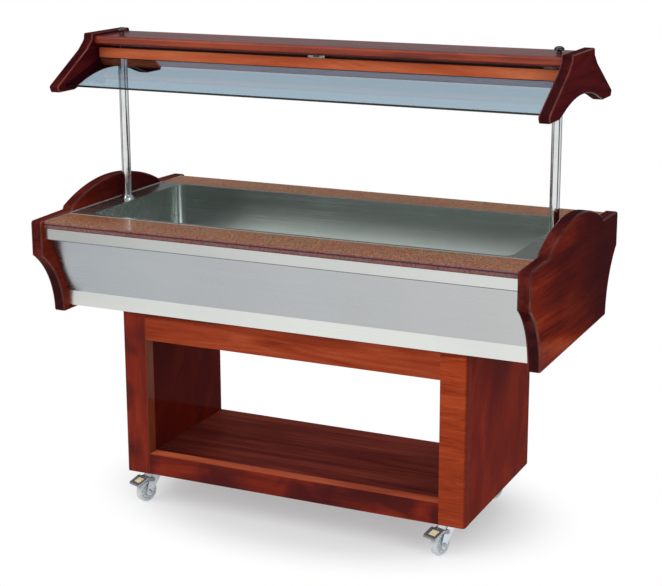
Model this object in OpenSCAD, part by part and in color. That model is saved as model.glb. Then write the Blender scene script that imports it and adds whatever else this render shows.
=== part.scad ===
// Mobile salad bar: a wooden trolley base on four castors, an iced steel well
// in a stone counter between two shaped wooden cheeks, and a wooden canopy
// with two sloping glass screens, carried by two steel posts.
// The origin is on the floor, midway along and across. +X runs along the
// counter and -Y is the front. All sizes are in millimetres.

/* [Counter] */
// Length over the two cheeks
body_l = 1500; // [1200:10:1900]
// Depth of the cheeks, front to back
body_d = 818; // [700:2:1000]
// Height of the counter body, from its underside to the stone
body_h = 271; // [260:1:340]
// Thickness of a cheek
cheek_t = 37; // [24:1:46]
// How far a cheek hangs below the body
cheek_drop = 17; // [4:1:30]
// How far the foot of a cheek is tucked in, front and back
cheek_tuck = 98; // [70:1:120]
// Height of the tucked-in cove
cove_h = 189; // [150:1:225]
// Rise of the cheek's shoulder above the stone, beside the crest
shoulder_h = 9; // [5:1:20]
// Rise of the crest above the shoulder
crest_h = 64; // [30:1:90]
// Width of the crest
crest_w = 490; // [360:5:560]
// Thickness of the stone slabs
stone_t = 20; // [12:1:30]
// Width of each stone slab
stone_w = 140; // [110:1:170]
// How far the stone's edge lies behind the cheek's edge
stone_setback = 14; // [6:1:25]

/* [Steel front] */
// Thickness of the steel sheet
sheet_t = 1.2; // [0.8:0.1:2]
// Height of the band under the stone
upper_band_h = 31; // [22:1:40]
// Height of the band at the foot of the body
lower_band_h = 44; // [36:1:60]
// How far the sloping panel starts behind the upper band
panel_setback = 20; // [10:1:30]
// How far the lower band lies behind the foot of the cheek
lower_band_setback = 23; // [10:1:30]

/* [Well] */
// Depth of the well, from the stone to its floor
well_depth = 170; // [120:5:190]
// Width of the steel deck between the well and each cheek
end_deck = 68; // [62:1:90]
// Radius of the well's upright corners
well_r = 30; // [12:1:60]
// Insulation along the front and the back of the well
insulation_t = 34; // [20:1:36]
// Height of the battens under the insulation
bearer_h = 45; // [30:1:50]
// Height at which the perforated plates stand above the well's floor
plate_stand = 20; // [12:1:40]
// Spacing of the holes in the perforated plates
plate_pitch = 50; // [40:1:80]
// Diameter of the holes in the perforated plates
plate_hole = 9; // [5:1:14]

/* [Drain] */
// Outer diameter of the drain pipe
drain_d = 32; // [24:1:40]
// Length of the drain lever from its pivot
lever_l = 62; // [45:1:80]

/* [Base] */
// Length of the base
base_l = 1074; // [900:2:1300]
// Depth of the base
base_d = 548; // [460:2:660]
// Height of the base without its castors
base_h = 500; // [400:5:620]
// Width of the front stiles
stile_w = 77; // [50:1:110]
// Thickness of the front frame
frame_t = 39; // [25:1:50]
// Height of the top rails
top_rail_h = 84; // [70:1:110]
// Height of the bottom rail
bottom_rail_h = 64; // [45:1:90]
// Thickness of the side panels
side_t = 20; // [15:1:30]
// Thickness of the shelf
shelf_t = 24; // [18:1:32]

/* [Canopy] */
// Height of the canopy's brackets above the stone
canopy_rise = 511; // [430:1:640]
// Thickness of a bracket
bracket_t = 32; // [24:1:40]
// Depth of a bracket across its top
bracket_top_d = 204; // [190:2:240]
// Depth of a bracket across its feet
bracket_foot_d = 582; // [540:2:660]
// Drop from a bracket's top to its feet
bracket_h = 154; // [140:1:190]
// Thickness of the top board
board_t = 22; // [18:1:30]
// Depth of the top board
board_d = 184; // [160:2:200]
// Height of the visible face of the canopy's rails
canopy_rail_h = 30; // [24:1:40]
// Thickness of the canopy's rails
canopy_rail_t = 20; // [16:1:26]
// Distance of the rails' faces from the middle
canopy_rail_y = 70; // [62:1:80]
// Thickness of the glass
glass_t = 6; // [4:1:8]
// Slope of the glass, in degrees
glass_slope = 18; // [14:1:22]
// Distance of the glass's lower edge from the middle
glass_edge_y = 252; // [230:1:262]

/* [Posts] */
// Diameter of the posts
post_d = 28; // [22:1:34]
// Distance of a post's axis from the inner face of the cheek
post_inset = 33; // [28:1:36]
// Diameter of the knobs on the canopy
knob_d = 28; // [22:1:40]

/* [Castors] */
// Height of a castor from the floor to its plate
castor_h = 94; // [86:1:120]
// Diameter of a castor's wheel
wheel_d = 65; // [50:1:70]
// Width of a castor's wheel
wheel_w = 24; // [18:1:30]
// Distance of a wheel's axle from its swivel axis
trail = 34; // [24:1:40]
// Distance of a swivel axis from the end of the base
castor_end = 65; // [50:1:90]
// Distance of a swivel axis from the front of the base
castor_side = 48; // [40:1:80]
// Direction in which the wheels trail, in degrees from +X
castor_turn = 250; // [0:1:359]

/* [Hidden] */

$fn = 48;
// Overshoot of a cutting shape past the face that it cuts
cut = 1;
// Gap where one part drops or slides into another
fit = 0.3;
// Radial clearance of a turning joint
run = 0.05;
// Number of segments in each rounded corner of an outline
corner_n = 6;

// Levels above the floor
base_z = castor_h;
body_z = base_z + base_h;
counter_z = body_z + body_h;
canopy_z = counter_z + canopy_rise;
stone_z = counter_z - stone_t;

// Half lengths and depths of the counter
half_l = body_l / 2;
half_d = body_d / 2;
inner_l = half_l - cheek_t;
stone_y = half_d - stone_setback;
well_edge_y = stone_y - stone_w;
// Gap between the liner's wall and the stone
liner_gap = 1;
liner_y = well_edge_y - liner_gap;
liner_x = inner_l - end_deck + sheet_t;
rim_w = 12;
rim_y = well_edge_y + rim_w - liner_gap;
well_floor_z = counter_z - well_depth;

// Steel front
band_y = stone_y - 3;
upper_band_z = stone_z - upper_band_h;
panel_y = band_y - panel_setback;
lower_band_y = half_d - cheek_tuck - lower_band_setback;
lower_band_z = body_z + lower_band_h;
band_flange = 40;
panel_flange = 22;
lower_flange = 26;

// Body
floor_t = 18;
floor_y = lower_band_y - sheet_t;
floor_top_z = body_z + floor_t;
sill_w = 30;
counter_rail_w = 40;
insulation_z = floor_top_z + bearer_h;
insulation_y = liner_y + insulation_t;
post_x = inner_l - post_inset;
post_gap = 2;
insulation_x = post_x - post_d / 2 - post_gap;
bearer_w = 40;
bearer_n = 4;

// Base
base_x = base_l / 2;
base_y = base_d / 2;
stile_x = base_x - stile_w;
panel_x = base_x - side_t;
frame_y = base_y - frame_t;
base_top_z = base_z + base_h;
base_panel_t = 18;
rear_rail_t = 22;

// Canopy
bracket_x = half_l - 1;
canopy_x = bracket_x - bracket_t;
board_top_z = canopy_z - 8;
board_z = board_top_z - board_t;
shadow_gap = 14;
rail_top_z = board_z - shadow_gap;
rail_z = rail_top_z - canopy_rail_h;
rail_back_y = canopy_rail_y - canopy_rail_t;
groove_depth = 6;
glass_rebate = 4;
rail_lip_w = 11;
rail_lip_h = 6;
seat_t = 5;
seat_d = 50;
post_top_z = board_z - seat_t;
stud_d = 10;

// Lamp
housing_t = 1;
housing_x = post_x - seat_d / 2 - 2;
housing_y = rail_back_y;
housing_z = rail_z + 2;
diffuser_t = 3;
tube_d = 26;
tube_z = housing_z + 20;
tube_x = housing_x - 66;
holder_t = 16;

// Castors
castor_x = base_x - castor_end;
castor_y = base_y - castor_side;
front_left = [-castor_x, -castor_y];
front_right = [castor_x, -castor_y];
rear_left = [-castor_x, castor_y];
rear_right = [castor_x, castor_y];
plate_t = 2.5;
race_h = 6;
fork_t = 2.5;
fork_gap = 2.5;
axle_d = 8;
axle_z = wheel_d / 2;
pin_d = 5;
pivot_s = trail - 12;
// Clear space between the pedal's pin and the wheel
pivot_gap = 3.5;
pivot_r = wheel_d / 2 + pin_d / 2 + pivot_gap;
pivot_z = axle_z + sqrt(pivot_r * pivot_r - pow(trail - pivot_s, 2));

wood = "#6b1f14";
orange_wood = "#a8431f";
steel = "#c9ccce";
stone = "#7a3b34";
zinc = "#d5dade";

// ---- Outlines --------------------------------------------------------------

// Points of an arc round [cx, cy], from angle a0 to a1
function arc(cx, cy, r, a0, a1, n) =
    [for (i = [0:n]) let (a = a0 + (a1 - a0) * i / n)
        [cx + r * cos(a), cy + r * sin(a)]];

function unit(v) = v / norm(v);

// A corner q between p and s, rounded with radius r
function corner(p, q, s, r) =
    let (u = unit(p - q), v = unit(s - q), half = acos(u * v) / 2,
        reach = r / tan(half), a = q + u * reach, b = q + v * reach,
        c = q + unit(u + v) * r / sin(half))
    [for (i = [0:corner_n]) let (w = unit((a - c) * (corner_n - i) + (b - c) * i))
        c + w * r];

// A closed outline of [y, z, radius] points, each corner rounded
function rounded(pts) =
    let (n = len(pts), xy = [for (p = pts) [p[0], p[1]]])
    [for (i = [0:n - 1]) let (r = pts[i][2])
        each (r == 0 ? [xy[i]]
            : corner(xy[(i + n - 1) % n], xy[i], xy[(i + 1) % n], r))];

// The right half of an outline, from its top to its foot, and its mirror image
function both_sides(half) =
    concat(half, [for (i = [len(half) - 1:-1:0]) [-half[i][0], half[i][1], half[i][2]]]);

// Outward normal of a clockwise outline at point i, lengthened to keep edges parallel
function outward(pts, i) =
    let (n = len(pts), a = unit(pts[i] - pts[(i + n - 1) % n]),
        b = unit(pts[(i + 1) % n] - pts[i]), m = unit(a + b),
        s = max(0.5, a * m))
    [-m[1], m[0]] / s;

// A plate across X with the given clockwise outline, its edges rounded over
module rounded_plate(pts, t, r, steps = 3) {
    n = len(pts);
    normals = [for (i = [0:n - 1]) outward(pts, i)];
    half = [for (k = [0:steps]) let (a = 90 * k / steps)
        [t / 2 - r * (1 - cos(a)), r * (1 - sin(a))]];
    rings = concat([for (h = half) [-h[0], h[1]]],
        [for (k = [steps:-1:0]) half[k]]);
    m = len(rings);
    verts = [for (h = rings, i = [0:n - 1]) let (p = pts[i] - normals[i] * h[1])
        [h[0], p[0], p[1]]];
    side = [for (k = [0:m - 2], i = [0:n - 1]) let (j = (i + 1) % n)
        each [[k * n + i, k * n + j, (k + 1) * n + j],
            [k * n + i, (k + 1) * n + j, (k + 1) * n + i]]];
    caps = [[for (i = [n - 1:-1:0]) i], [for (i = [0:n - 1]) (m - 1) * n + i]];
    polyhedron(verts, concat(side, caps));
}

// A profile of [y, z] points drawn along X between x0 and x1
module along_x(x0, x1) {
    translate([x0, 0, 0]) rotate([90, 0, 90]) linear_extrude(x1 - x0) children();
}

// A block between two opposite corners
module block(a, b) {
    translate(a) cube(b - a);
}

module on_both_ends() {
    children();
    mirror([1, 0, 0]) children();
}

module rear_copy() {
    mirror([0, 1, 0]) children();
}

// ---- Counter ---------------------------------------------------------------

cheek_r = 5;
cheek_z = body_z - cheek_drop;
knee_z = cheek_z + cove_h;
cove_r = (cheek_tuck * cheek_tuck + cove_h * cove_h) / (2 * cheek_tuck);
shoulder_z = counter_z + shoulder_h;
step_h = 8;
crest_half = crest_w / 2;
crest_sag = crest_h - step_h;
crest_r = (crest_half * crest_half + crest_sag * crest_sag) / (2 * crest_sag);
crest_top_z = shoulder_z + crest_h;
crest_a = asin(crest_half / crest_r);
cove_a = asin(cove_h / cove_r);

function plain(pts) = [for (p = pts) [p[0], p[1], 0]];

cheek_half = concat(
    plain(arc(0, crest_top_z - crest_r, crest_r, 90 - crest_a / 24, 90 - crest_a, 20)),
    [[crest_half + 5, shoulder_z - 2, 2],
        [half_d, shoulder_z - 6, 9]],
    plain(arc(half_d - cheek_tuck + cove_r, cheek_z, cove_r, 180 - cove_a, 177, 14)),
    [[half_d - cheek_tuck, cheek_z, 7]]);

module cheek() {
    color(wood)
    translate([inner_l + cheek_t / 2, 0, 0])
    rounded_plate(rounded(both_sides(cheek_half)), cheek_t, cheek_r);
}

module cheek_right() { cheek(); }

module cheek_left() { mirror([1, 0, 0]) cheek(); }

stone_r = 4;

module stone_front() {
    color(stone)
    along_x(-inner_l, inner_l)
    polygon([for (p = rounded([[-stone_y, stone_z, 1.5], [-stone_y, counter_z, stone_r],
        [-well_edge_y, counter_z, 0], [-well_edge_y, stone_z, 0]])) p]);
}

module stone_rear() { rear_copy() stone_front(); }

// A rectangle about the origin with round corners
module round_rect(x, y, r) {
    square([2 * x - 2 * r, 2 * y], center = true);
    square([2 * x, 2 * y - 2 * r], center = true);
    for (i = [-1, 1], j = [-1, 1]) translate([i * (x - r), j * (y - r)]) circle(r);
}

drain_bore = drain_d + 2 * fit;

module well_liner() {
    color(steel)
    difference() {
        union() {
            translate([0, 0, counter_z]) linear_extrude(sheet_t)
            square([2 * inner_l, 2 * rim_y], center = true);
            translate([0, 0, well_floor_z - sheet_t])
            linear_extrude(well_depth + sheet_t)
            round_rect(liner_x, liner_y, well_r + sheet_t);
        }
        translate([0, 0, well_floor_z]) linear_extrude(well_depth + sheet_t + cut)
        round_rect(liner_x - sheet_t, liner_y - sheet_t, well_r);
        translate([0, 0, well_floor_z - sheet_t - cut])
        cylinder(d = drain_bore, h = sheet_t + 2 * cut);
        on_both_ends() translate([post_x, 0, counter_z - cut])
        cylinder(d = post_d + 2 * fit, h = sheet_t + 2 * cut);
    }
}

module well_insulation() {
    color("#d9c48a")
    difference() {
        block([-insulation_x, -insulation_y, insulation_z],
            [insulation_x, insulation_y, stone_z]);
        translate([0, 0, well_floor_z - sheet_t]) linear_extrude(well_depth + cut)
        round_rect(liner_x, liner_y, well_r + sheet_t);
        translate([0, 0, insulation_z - cut])
        cylinder(d = drain_bore, h = well_depth);
    }
}

module body_floor() {
    color("#9b6b45")
    difference() {
        block([-inner_l, -floor_y, body_z], [inner_l, floor_y, floor_top_z]);
        translate([0, 0, body_z - cut]) cylinder(d = drain_bore, h = floor_t + 2 * cut);
    }
}

module counter_rails() {
    color("#9b6b45")
    for (s = [0, 1]) mirror([0, s, 0])
    block([-inner_l, -band_y + sheet_t, upper_band_z + sheet_t],
        [inner_l, -band_y + sheet_t + counter_rail_w, stone_z - sheet_t]);
}

// Timber inside the body: sills, bearers under the well, battens under the deck
module body_battens() {
    color("#b98a5c") {
        for (s = [0, 1]) mirror([0, s, 0])
        block([-inner_l, -floor_y, floor_top_z],
            [inner_l, -floor_y + sill_w, lower_band_z - sheet_t]);
        bearer_l = 2 * (floor_y - sill_w);
        bearer_step = 2 * insulation_x / bearer_n;
        for (i = [0:bearer_n - 1])
        translate([-insulation_x + (i + 0.5) * bearer_step, 0, floor_top_z + bearer_h / 2])
        cube([bearer_w, bearer_l, bearer_h], center = true);
        on_both_ends() {
            block([liner_x + fit, -liner_y, stone_z], [insulation_x, liner_y, counter_z]);
            block([post_x + post_d / 2 + post_gap, -liner_y, stone_z],
                [inner_l, liner_y, counter_z]);
        }
    }
}

module upper_band_front() {
    color(steel)
    along_x(-inner_l, inner_l)
    polygon([[-band_y, stone_z], [-band_y, upper_band_z],
        [-panel_y, upper_band_z], [-panel_y, upper_band_z + sheet_t],
        [-band_y + sheet_t, upper_band_z + sheet_t],
        [-band_y + sheet_t, stone_z - sheet_t],
        [-band_y + band_flange, stone_z - sheet_t], [-band_y + band_flange, stone_z]]);
}

module upper_band_rear() { rear_copy() upper_band_front(); }

// Width of the sheet measured level, where the panel slopes
panel_run = panel_y - lower_band_y;
panel_rise = upper_band_z - lower_band_z;
panel_sheet = sheet_t * sqrt(1 + pow(panel_run / panel_rise, 2));

module fascia_panel_front() {
    color("#a9adb0")
    along_x(-inner_l, inner_l)
    polygon([[-panel_y, upper_band_z], [-panel_y, upper_band_z + sheet_t],
        [-panel_y + panel_flange, upper_band_z + sheet_t],
        [-panel_y + panel_flange, upper_band_z],
        [-panel_y + panel_sheet, upper_band_z],
        [-lower_band_y + panel_sheet, lower_band_z], [-lower_band_y, lower_band_z]]);
}

module fascia_panel_rear() { rear_copy() fascia_panel_front(); }

module lower_band_front() {
    color(steel)
    along_x(-inner_l, inner_l)
    polygon([[-lower_band_y, lower_band_z], [-lower_band_y, body_z],
        [-floor_y, body_z], [-floor_y, lower_band_z - sheet_t],
        [-floor_y + lower_flange, lower_band_z - sheet_t],
        [-floor_y + lower_flange, lower_band_z]]);
}

module lower_band_rear() { rear_copy() lower_band_front(); }

// ---- Well fittings ---------------------------------------------------------

false_t = 1.5;
false_rim = 12;
false_gap = 3;
false_x0 = false_gap / 2;
false_x1 = liner_x - sheet_t - false_gap;
false_y = liner_y - sheet_t - false_gap;
false_z = well_floor_z + plate_stand;
foot_d = 14;
finger_d = 26;
flange_d = drain_d + 24;
flange_t = 2;

// Outline of a plate, its outer corners round like the well's
module false_outline(inset = 0) {
    r = well_r - false_gap;
    intersection() {
        translate([false_x0 + inset, -false_y])
        square([false_x1 - false_x0, 2 * false_y]);
        round_rect(false_x1 - inset, false_y - inset, r - inset);
    }
}

module false_plate_outline() {
    difference() {
        false_outline();
        nx = floor((false_x1 - false_x0 - 2 * false_rim) / plate_pitch);
        ny = floor((2 * false_y - 2 * false_rim) / plate_pitch);
        x0 = false_x0 + (false_x1 - false_x0 - (nx - 1) * plate_pitch) / 2;
        y0 = -(ny - 1) * plate_pitch / 2;
        for (i = [0:nx - 1], j = [0:ny - 1])
        translate([x0 + i * plate_pitch, y0 + j * plate_pitch]) circle(d = plate_hole, $fn = 24);
        // Two finger holes, each midway between four of the small ones
        mid = (ny % 2 == 0) ? 0 : plate_pitch / 2;
        for (i = [1.5, nx - 2.5]) translate([x0 + i * plate_pitch, mid]) circle(d = finger_d);
    }
}

// A lift-out plate: perforated, turned down at its rim, on four feet
module false_bottom() {
    color(steel) {
        translate([0, 0, false_z]) linear_extrude(false_t) false_plate_outline();
        translate([0, 0, false_z - false_rim]) linear_extrude(false_rim)
        difference() {
            false_outline();
            false_outline(false_t);
        }
        inset = well_r + foot_d;
        for (x = [false_x0 + inset, false_x1 - inset], y = [-false_y + inset, false_y - inset])
        translate([x, y, well_floor_z + fit]) cylinder(d = foot_d, h = plate_stand - fit);
    }
}

module false_bottom_right() { false_bottom(); }

module false_bottom_left() { mirror([1, 0, 0]) false_bottom(); }

valve_d = drain_d + 10;
valve_top_z = body_z - 28;
valve_z = valve_top_z - 50;
valve_socket = 14;
stem_z = valve_z + 24;
stem_d = 8;
boss_d = 16;
boss_y = valve_d / 2 + 8;
lever_t = 5;
lever_hub_d = 18;

module drain_pipe() {
    color(steel)
    difference() {
        union() {
            translate([0, 0, well_floor_z]) cylinder(d = flange_d, h = flange_t);
            translate([0, 0, valve_top_z - valve_socket])
            cylinder(d = drain_d, h = well_floor_z - valve_top_z + valve_socket);
        }
        translate([0, 0, valve_z]) cylinder(d = drain_d - 4, h = body_h);
    }
}

module drain_valve() {
    color("#b99a4a")
    difference() {
        union() {
            translate([0, 0, valve_z]) cylinder(d = valve_d - 8, h = valve_top_z - valve_z);
            translate([0, 0, valve_top_z - valve_socket]) cylinder(d = valve_d, h = valve_socket);
            translate([0, 0, stem_z - 14]) cylinder(d = valve_d, h = 28);
            translate([0, 0, stem_z]) rotate([90, 0, 0]) cylinder(d = boss_d, h = boss_y);
            translate([0, 0, stem_z]) rotate([90, 0, 0])
            cylinder(d = stem_d, h = boss_y + lever_t + 3);
        }
        translate([0, 0, valve_top_z - valve_socket])
        cylinder(d = drain_d + 2 * run, h = valve_socket + cut);
        translate([0, 0, valve_z - cut]) cylinder(d = drain_d - 10, h = 10);
    }
}

module drain_lever() {
    color("#b3202a")
    translate([0, -boss_y - fit, stem_z]) rotate([90, 0, 0])
    difference() {
        union() {
            cylinder(d = lever_hub_d, h = lever_t);
            translate([0, -6, 0]) cube([lever_l - 6, 12, lever_t]);
            translate([lever_l - 6, 0, 0]) cylinder(d = 12, h = lever_t);
        }
        translate([0, 0, -cut]) cylinder(d = stem_d + 2 * run, h = lever_t + 2 * cut);
    }
}

// ---- Base ------------------------------------------------------------------

stile_r = 9;

// Front stile, its outer corner rounded
module base_stile_right() {
    color(orange_wood)
    translate([0, 0, base_z]) linear_extrude(base_h) {
        translate([stile_x, -base_y]) square([stile_w - stile_r, frame_t]);
        translate([stile_x, -base_y + stile_r]) square([stile_w, frame_t - stile_r]);
        translate([base_x - stile_r, -base_y + stile_r]) circle(stile_r);
    }
}

module base_stile_left() { mirror([1, 0, 0]) base_stile_right(); }

module base_rail_top() {
    color(orange_wood)
    block([-stile_x, -base_y, base_top_z - top_rail_h], [stile_x, -frame_y, base_top_z]);
}

module base_rail_bottom() {
    color(orange_wood)
    block([-stile_x, -base_y, base_z], [stile_x, -frame_y, base_z + bottom_rail_h]);
}

module base_rail_rear() {
    color(orange_wood)
    block([-panel_x, base_y - rear_rail_t, base_top_z - top_rail_h],
        [panel_x, base_y, base_top_z]);
}

module base_side_right() {
    color(wood)
    block([panel_x, -frame_y, base_z], [base_x, base_y, base_top_z]);
}

module base_side_left() { mirror([1, 0, 0]) base_side_right(); }

module base_shelf() {
    color("#4a1a14")
    block([-panel_x, -frame_y, base_z], [panel_x, base_y, base_z + shelf_t]);
}

module base_top() {
    color("#4a1a14")
    difference() {
        block([-panel_x, -frame_y, base_top_z - base_panel_t],
            [panel_x, base_y - rear_rail_t, base_top_z]);
        translate([0, 0, base_top_z - base_panel_t - cut])
        cylinder(d = drain_bore, h = base_panel_t + 2 * cut);
    }
}

// ---- Posts -----------------------------------------------------------------

post_wall = 1.5;
foot_t = 4;
spigot_h = 36;
plug_h = 12;
stud_h = board_t + seat_t + 14;

module post_right() {
    color(zinc)
    translate([post_x, 0, 0]) {
        difference() {
            translate([0, 0, floor_top_z + foot_t])
            cylinder(d = post_d, h = post_top_z - floor_top_z - foot_t);
            translate([0, 0, floor_top_z])
            cylinder(d = post_d - 2 * post_wall, h = post_top_z - floor_top_z - plug_h);
        }
        translate([0, 0, post_top_z - cut]) cylinder(d = stud_d, h = stud_h + cut);
    }
}

module post_left() { mirror([1, 0, 0]) post_right(); }

collar_d = 46;
collar_h = 8;

// Stepped rosettes where the posts pass through the steel deck
module deck_collars() {
    color(zinc)
    on_both_ends() translate([post_x, 0, counter_z + sheet_t])
    difference() {
        union() {
            cylinder(d = collar_d, h = 2.5);
            cylinder(d1 = collar_d - 6, d2 = post_d + 5, h = collar_h, $fn = 64);
        }
        translate([0, 0, -cut]) cylinder(d = post_d + 2 * run, h = collar_h + 2 * cut);
    }
}

// Floor plates with a spigot inside each post
module post_feet() {
    color(zinc)
    on_both_ends() translate([post_x, 0, floor_top_z]) {
        translate([-post_inset + 3, -40, 0]) cube([2 * (post_inset - 3), 80, foot_t]);
        cylinder(d = post_d - 2 * post_wall - 2 * run, h = foot_t + spigot_h);
    }
}

module post_seats() {
    color(zinc)
    on_both_ends() translate([post_x, 0, post_top_z])
    difference() {
        cylinder(d = seat_d, h = seat_t);
        translate([0, 0, -cut]) cylinder(d = stud_d + 2 * run, h = seat_t + 2 * cut);
    }
}

// ---- Canopy ----------------------------------------------------------------

stud_bore = stud_d + 2 * fit;
nosing_r = 7;

module canopy_board() {
    color(wood)
    difference() {
        y = board_d / 2;
        along_x(-canopy_x, canopy_x)
        polygon([for (p = rounded(both_sides([[y, board_top_z, nosing_r],
            [y, board_z, 3]]))) p]);
        on_both_ends() translate([post_x, 0, board_z - cut])
        cylinder(d = stud_bore, h = board_t + 2 * cut);
    }
}

// Level of the glass's upper face at a distance y from the middle
function glass_z(y) = rail_z + (canopy_rail_y - y) * tan(glass_slope);

// Section of the rear glass, between two distances from the middle
module glass_section(y0, y1, gap = 0) {
    dy = sin(glass_slope);
    dz = cos(glass_slope);
    t = glass_t + gap;
    polygon([[y0 + gap * dy, glass_z(y0) + gap * dz], [y1 + gap * dy, glass_z(y1) + gap * dz],
        [y1 - t * dy, glass_z(y1) - t * dz], [y0 - t * dy, glass_z(y0) - t * dz]]);
}

glass_y0 = rail_back_y + glass_rebate;

module glass_rear() {
    color("#9fb6bf", 0.6)
    along_x(-canopy_x - groove_depth + fit, canopy_x + groove_depth - fit)
    glass_section(glass_y0 + fit, glass_edge_y);
}

module glass_front() { rear_copy() glass_rear(); }

// Rail with a groove along its foot that holds the top edge of the glass
module canopy_rail_rear() {
    color(orange_wood)
    along_x(-canopy_x, canopy_x)
    difference() {
        polygon([[rail_back_y, rail_z - rail_lip_h], [canopy_rail_y, rail_z - rail_lip_h],
            [canopy_rail_y, rail_top_z], [rail_back_y, rail_top_z]]);
        glass_section(glass_y0, canopy_rail_y + cut, 0.01);
        polygon([[rail_back_y + rail_lip_w, glass_z(rail_back_y + rail_lip_w) - cut],
            [canopy_rail_y + cut, rail_z - cut],
            [canopy_rail_y + cut, rail_z - rail_lip_h - cut],
            [rail_back_y + rail_lip_w, rail_z - rail_lip_h - cut]]);
    }
}

module canopy_rail_front() { rear_copy() canopy_rail_rear(); }

bracket_r = 4;
bracket_top = bracket_top_d / 2;
bracket_foot = bracket_foot_d / 2;
bracket_z = canopy_z - bracket_h;
arch_half = 150;
arch_rise = 40;
arch_edge = 17;
arch_sag = arch_rise - arch_edge;
arch_r = (arch_half * arch_half + arch_sag * arch_sag) / (2 * arch_sag);
arch_a = asin(arch_half / arch_r);

bracket_half = concat(
    [[bracket_top, canopy_z, 5], [bracket_top + 3, canopy_z - 18, 12],
        [bracket_top + 32, canopy_z - 44, 40],
        [bracket_foot, bracket_z + 18, 7], [bracket_foot - 8, bracket_z, 6],
        [bracket_foot - 88, bracket_z, 14], [arch_half + 14, bracket_z + arch_edge - 5, 16]],
    plain(arc(0, bracket_z + arch_rise - arch_r, arch_r, 90 - arch_a, 90 - arch_a / 20, 14)));

module canopy_bracket() {
    color(wood)
    difference() {
        translate([canopy_x + bracket_t / 2, 0, 0])
        rounded_plate(rounded(both_sides(bracket_half)), bracket_t, bracket_r);
        for (s = [0, 1]) mirror([0, s, 0])
        along_x(canopy_x - cut, canopy_x + groove_depth)
        glass_section(glass_y0, glass_edge_y + fit, fit / 2);
    }
}

module canopy_bracket_right() { canopy_bracket(); }

module canopy_bracket_left() { mirror([1, 0, 0]) canopy_bracket(); }

module lamp_housing() {
    color("#e8e8e4")
    difference() {
        block([-housing_x, -housing_y, housing_z], [housing_x, housing_y, board_z]);
        block([-housing_x + housing_t, -housing_y + housing_t, housing_z - cut],
            [housing_x - housing_t, housing_y - housing_t, board_z - housing_t]);
    }
}

pin_h = 7;

module lamp_tube() {
    color("white")
    translate([0, 0, tube_z]) rotate([0, 90, 0]) {
        cylinder(d = tube_d, h = 2 * tube_x, center = true);
        for (s = [-1, 1]) translate([s * 6, 0, 0])
        cylinder(d = 2.4, h = 2 * (tube_x + pin_h), center = true, $fn = 16);
    }
}

module lamp_holders() {
    color("#f2f2ee")
    on_both_ends()
    difference() {
        translate([tube_x + fit, -14, tube_z - 14])
        cube([holder_t, 28, board_z - housing_t - tube_z + 14]);
        translate([tube_x, 0, tube_z]) rotate([0, 90, 0])
        for (s = [-1, 1]) translate([s * 6, 0, -cut])
        cylinder(d = 2.4 + 2 * run, h = pin_h + 1 + cut, $fn = 16);
    }
}

module lamp_diffuser() {
    color("#f4f4f0")
    along_x(-housing_x + housing_t + fit, housing_x - housing_t - fit)
    difference() {
        y = housing_y - housing_t - fit;
        polygon([[-y, housing_z], [y, housing_z], [y, housing_z + 8], [-y, housing_z + 8]]);
        polygon([[-y + 2, housing_z + diffuser_t], [y - 2, housing_z + diffuser_t],
            [y - 2, housing_z + 9], [-y + 2, housing_z + 9]]);
    }
}

switch_w = 52;
switch_h = 11;
rocker_w = 18;
rocker_h = 7;
rocker_y = canopy_rail_y - 1;
rocker_z = rail_top_z + 1 + switch_h / 2;

// Small metal plate in the shadow gap under the board, with its switch box
module switch_plate() {
    color("#a7a9a6")
    difference() {
        union() {
            block([-switch_w / 2, -canopy_rail_y - 1, rail_top_z + 1],
                [switch_w / 2, -canopy_rail_y + 1, rail_top_z + 1 + switch_h]);
            block([-switch_w / 2 + 8, -canopy_rail_y, rail_top_z],
                [switch_w / 2 - 8, -housing_y, rail_top_z + switch_h]);
        }
        block([-rocker_w / 2 - 0.5, -canopy_rail_y - 1 - cut, rocker_z - rocker_h / 2 - 0.5],
            [rocker_w / 2 + 0.5, -canopy_rail_y + 8, rocker_z + rocker_h / 2 + 0.5]);
        translate([0, -rocker_y, rocker_z]) rotate([0, 90, 0])
        cylinder(d = 2 + 2 * run, h = rocker_w + 4, center = true, $fn = 24);
    }
}

module lamp_rocker() {
    color("#1b1b1b")
    translate([0, -rocker_y, rocker_z]) {
        rotate([0, 90, 0]) cylinder(d = 2, h = rocker_w + 3, center = true, $fn = 24);
        rotate([90, 0, 90]) translate([0, 0, -rocker_w / 2]) linear_extrude(rocker_w)
        polygon([[2, -2.4], [-1.6, -rocker_h / 2 + 0.4], [-1.2, 0],
            [-1.6, rocker_h / 2 - 0.4], [2, 2.4]]);
    }
}

knob_h = 19;

// Mushroom knob with a blind hole for the post's stud
module knob_right() {
    color("#151515")
    translate([post_x, 0, board_top_z + fit])
    rotate_extrude($fn = 64)
    polygon([[stud_d / 2 + run, 0], [8.5, 0], [8.5, 1.5], [6.5, 3], [6.5, 6],
        [knob_d / 2 - 2, 7.5], [knob_d / 2, 9.5], [knob_d / 2, 13],
        [knob_d / 2 - 2, 16], [knob_d / 2 - 6, 18], [0, knob_h],
        [0, 15.5], [stud_d / 2 + run, 15.5]]);
}

module knob_left() { mirror([1, 0, 0]) knob_right(); }

// ---- Castors ---------------------------------------------------------------

plate_x = 74;
plate_y = 60;
plate_hole_d = 6.5;
race_d = 40;
kingpin_d = 10;
head_z = castor_h - plate_t - race_h - fit - fork_t;
leg_y = wheel_w / 2 + fork_gap;
leg_tip = 11;

// Shapes in a castor's own frame: the wheel trails along +X of it
module at_castor(p) {
    translate([p[0], p[1], 0]) rotate([0, 0, castor_turn]) children();
}

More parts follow.
